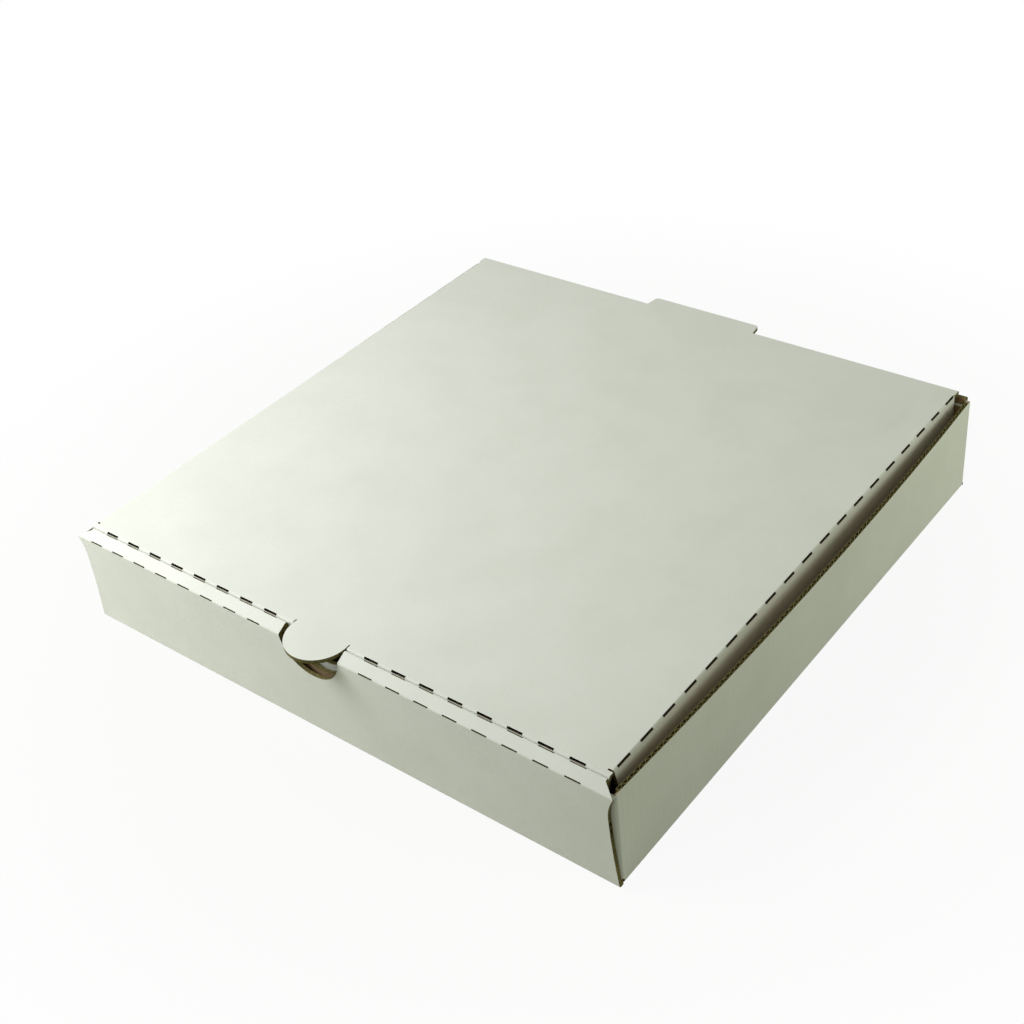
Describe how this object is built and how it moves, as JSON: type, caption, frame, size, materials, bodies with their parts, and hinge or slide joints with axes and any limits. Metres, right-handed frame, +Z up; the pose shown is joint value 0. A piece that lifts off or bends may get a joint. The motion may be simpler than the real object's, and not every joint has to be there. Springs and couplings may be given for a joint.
{
  "type": "pizza box",
  "caption": "Square flat pizza box folded from one sheet of corrugated board, with a rolled-over front wall and a hinged lid with thumb tab.",
  "frame": {"origin": "under the middle of the box, on the plane that it rests on", "axes": "+Z up; the thumb tab points to -Y, the hinge is at +Y, +X is to the right seen from the front"},
  "size_m": [0.2633, 0.2718, 0.0445],
  "materials": {
    "board": "matt white outer liner, brown inside and at raw edges"
  },
  "bodies": {
    "tray": {"tray": "board"},
    "lid": {"lid": "board"}
  },
  "joints": [
    {"name": "lid_hinge", "type": "hinge", "parent": "tray", "child": "lid", "pos_m": [0, 0.12845, 0.0437], "axis": [-1, 0, 0], "range_deg": [0, 180]}
  ]
}
